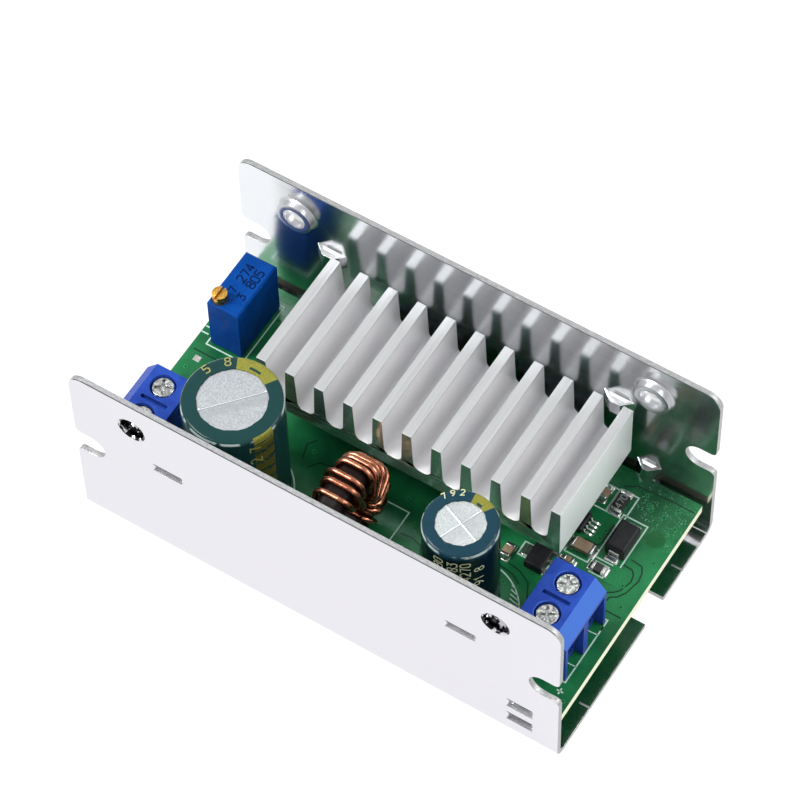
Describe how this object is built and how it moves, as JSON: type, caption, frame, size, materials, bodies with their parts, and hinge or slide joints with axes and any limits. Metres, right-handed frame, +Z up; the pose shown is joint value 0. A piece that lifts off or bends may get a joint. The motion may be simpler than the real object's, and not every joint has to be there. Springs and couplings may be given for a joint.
{
  "type": "boost converter module",
  "caption": "Open folded-metal channel holding a step-up converter board with finned heatsink, toroid inductor, electrolytic capacitors, trimmer and screw terminals.",
  "frame": {"origin": "centre of the underside of the folded channel", "axes": "+Z up from the underside, +X along the channel toward the input terminal, +Y across it toward the wall beside the heatsink"},
  "size_m": [0.0724, 0.04, 0.032],
  "materials": {
    "case_sheet": "satin",
    "sink_alloy": "satin",
    "board_laminate": "satin",
    "solder": "satin",
    "black_epoxy": "satin",
    "tinned_metal": "satin",
    "pad_sheet": "matte",
    "can_alloy": "satin",
    "can_sleeve": "gloss",
    "bung_rubber": "matte",
    "core_powder": "satin",
    "enamelled_wire": "gloss",
    "trimmer_plastic": "satin",
    "resistive_element": "matte",
    "screw_brass": "satin",
    "seal_rubber": "matte",
    "wheel_plastic": "satin",
    "spring_alloy": "satin",
    "terminal_plastic": "satin",
    "plated_screw": "satin",
    "cage_steel": "satin",
    "chip_dark": "satin",
    "chip_brown": "satin"
  },
  "bodies": {
    "base": {"case_channel": "case_sheet", "circuit_board": "board_laminate", "solder_joints": "solder", "heatsink": "sink_alloy", "rectifier_body": "black_epoxy", "rectifier_tab": "tinned_metal", "rectifier_leads": "tinned_metal", "switch_transistor_body": "black_epoxy", "switch_transistor_tab": "tinned_metal", "switch_transistor_leads": "tinned_metal", "thermal_pads": "pad_sheet", "output_capacitor_can": "can_alloy", "output_capacitor_sleeve": "can_sleeve", "output_capacitor_bung": "bung_rubber", "output_capacitor_leads": "tinned_metal", "input_capacitor_can": "can_alloy", "input_capacitor_sleeve": "can_sleeve", "input_capacitor_bung": "bung_rubber", "input_capacitor_leads": "tinned_metal", "inductor_core": "core_powder", "inductor_winding": "enamelled_wire", "trimmer_housing": "trimmer_plastic", "trimmer_element": "resistive_element", "trimmer_seal_ring": "seal_rubber", "trimmer_pins": "tinned_metal", "input_terminal_housing": "terminal_plastic", "input_terminal_contacts": "tinned_metal", "output_terminal_housing": "terminal_plastic", "output_terminal_contacts": "tinned_metal", "control_ic_body": "black_epoxy", "control_ic_leads": "tinned_metal", "regulator_body": "black_epoxy", "regulator_leads": "tinned_metal", "diode_body": "black_epoxy", "diode_tabs": "tinned_metal", "chip_resistor_bodies": "chip_dark", "chip_resistor_ends": "tinned_metal", "chip_capacitor_bodies": "chip_brown", "chip_capacitor_ends": "tinned_metal"},
    "input_clamp_screw_near": {"input_terminal_screw_near": "plated_screw"},
    "input_clamp_cage_near": {"input_terminal_cage_near": "cage_steel"},
    "input_clamp_screw_far": {"input_terminal_screw_far": "plated_screw"},
    "input_clamp_cage_far": {"input_terminal_cage_far": "cage_steel"},
    "output_clamp_screw_near": {"output_terminal_screw_near": "plated_screw"},
    "output_clamp_cage_near": {"output_terminal_cage_near": "cage_steel"},
    "output_clamp_screw_far": {"output_terminal_screw_far": "plated_screw"},
    "output_clamp_cage_far": {"output_terminal_cage_far": "cage_steel"},
    "trimmer_adjuster": {"trimmer_screw": "screw_brass"},
    "trimmer_wheel": {"trimmer_rotor": "wheel_plastic", "trimmer_wiper": "spring_alloy"}
  },
  "joints": [
    {"name": "input_near_screw_turn", "type": "hinge", "parent": "base", "child": "input_clamp_screw_near", "pos_m": [0.02895, -0.01069, 0.0154], "axis": [0, 0, 1], "range_deg": [-1600, 0]},
    {"name": "input_near_cage_rise", "type": "slide", "parent": "base", "child": "input_clamp_cage_near", "axis": [0, 0, 1], "range_m": [0, 0.002]},
    {"name": "input_far_screw_turn", "type": "hinge", "parent": "base", "child": "input_clamp_screw_far", "pos_m": [0.02895, -0.00561, 0.0154], "axis": [0, 0, 1], "range_deg": [-1600, 0]},
    {"name": "input_far_cage_rise", "type": "slide", "parent": "base", "child": "input_clamp_cage_far", "axis": [0, 0, 1], "range_m": [0, 0.002]},
    {"name": "output_near_screw_turn", "type": "hinge", "parent": "base", "child": "output_clamp_screw_near", "pos_m": [-0.03105, -0.01277, 0.0154], "axis": [0, 0, 1], "range_deg": [-1600, 0]},
    {"name": "output_near_cage_rise", "type": "slide", "parent": "base", "child": "output_clamp_cage_near", "axis": [0, 0, 1], "range_m": [0, 0.002]},
    {"name": "output_far_screw_turn", "type": "hinge", "parent": "base", "child": "output_clamp_screw_far", "pos_m": [-0.03105, -0.00769, 0.0154], "axis": [0, 0, 1], "range_deg": [-1600, 0]},
    {"name": "output_far_cage_rise", "type": "slide", "parent": "base", "child": "output_clamp_cage_far", "axis": [0, 0, 1], "range_m": [0, 0.002]},
    {"name": "trimmer_screw_turn", "type": "hinge", "parent": "base", "child": "trimmer_adjuster", "pos_m": [-0.0322, 0.0076, 0.017], "axis": [0, 0, 1], "range_deg": [-4490, 4490]},
    {"name": "trimmer_wheel_turn", "type": "hinge", "parent": "base", "child": "trimmer_wheel", "pos_m": [-0.0322, 0.01128, 0.012], "axis": [1, 0, 0], "range_deg": [-150, 150]}
  ],
  "couplings": [
    {"joint": "input_near_screw_turn", "follows": "input_near_cage_rise", "rad_per_m": -13963},
    {"joint": "input_far_screw_turn", "follows": "input_far_cage_rise", "rad_per_m": -13963},
    {"joint": "output_near_screw_turn", "follows": "output_near_cage_rise", "rad_per_m": -13963},
    {"joint": "output_far_screw_turn", "follows": "output_far_cage_rise", "rad_per_m": -13963},
    {"joint": "trimmer_wheel_turn", "follows": "trimmer_screw_turn", "ratio": 0.033333}
  ]
}
